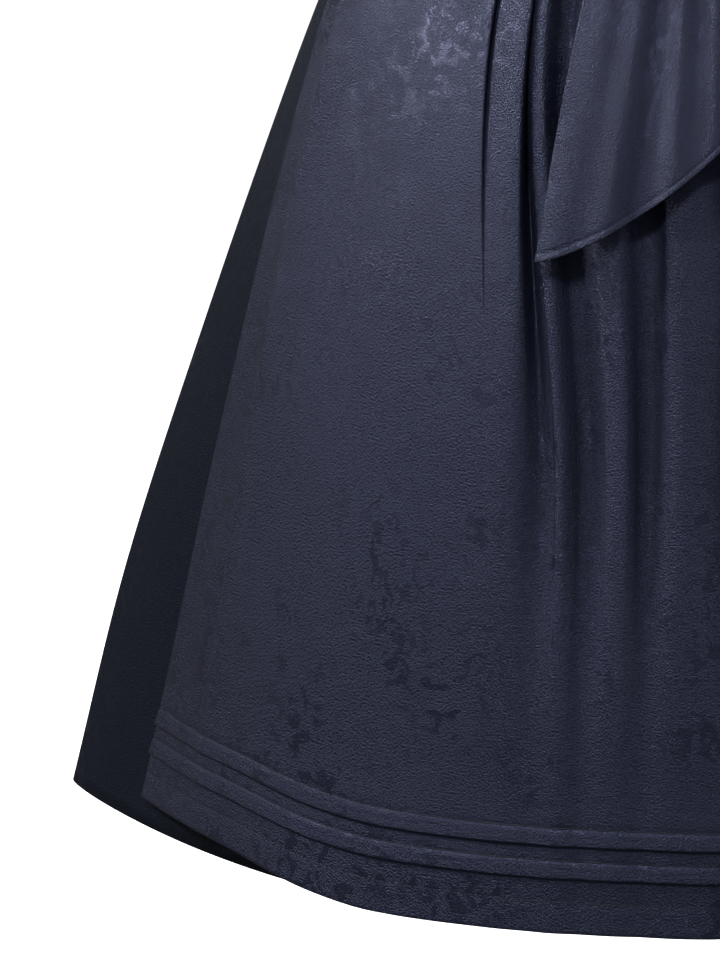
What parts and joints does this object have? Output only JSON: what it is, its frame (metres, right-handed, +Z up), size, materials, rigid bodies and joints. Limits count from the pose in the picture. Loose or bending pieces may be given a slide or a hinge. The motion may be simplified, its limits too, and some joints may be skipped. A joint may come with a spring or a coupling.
{
  "type": "dirndl",
  "caption": "Sleeveless folk dress, worn and hollow: fitted buttoned bodice, bell skirt, and a pleated apron with tucks above its hem, tied with a bow at the front.",
  "frame": {"origin": "midway between the tops of the two shoulder straps, where the wearer's shoulders carry the dress", "axes": "+Z up, the dress's front faces -Y, +X is the wearer's left"},
  "size_m": [0.6981, 0.5726, 1.049],
  "materials": {
    "skirt_cloth": "dark navy cotton jacquard",
    "bodice_cloth": "dark navy cotton jacquard",
    "apron_cloth": "violet navy satin jacquard",
    "ribbon_cloth": "violet navy satin jacquard",
    "button_cloth": "button covered in the dress's cloth"
  },
  "bodies": {
    "root": {"bodice_front_left": "bodice_cloth", "bodice_front_right": "bodice_cloth", "bodice_side_left": "bodice_cloth", "bodice_side_right": "bodice_cloth", "bodice_back_side_left": "bodice_cloth", "bodice_back_side_right": "bodice_cloth", "bodice_back": "bodice_cloth", "strap_left": "bodice_cloth", "strap_right": "bodice_cloth", "placket": "bodice_cloth", "button_1": "button_cloth", "button_2": "button_cloth", "button_3": "button_cloth", "button_4": "button_cloth", "button_5": "button_cloth", "button_6": "button_cloth", "button_7": "button_cloth", "skirt_front_left": "skirt_cloth", "skirt_front_right": "skirt_cloth", "skirt_back_left": "skirt_cloth", "skirt_back_right": "skirt_cloth", "apron": "apron_cloth", "apron_band": "apron_cloth", "tie_front_left": "ribbon_cloth", "tie_front_right": "ribbon_cloth", "tie_back": "ribbon_cloth", "bow_knot": "ribbon_cloth", "bow_loop_left": "ribbon_cloth", "bow_loop_right": "ribbon_cloth", "bow_tail_left": "ribbon_cloth", "bow_tail_right": "ribbon_cloth"}
  },
  "joints": []
}
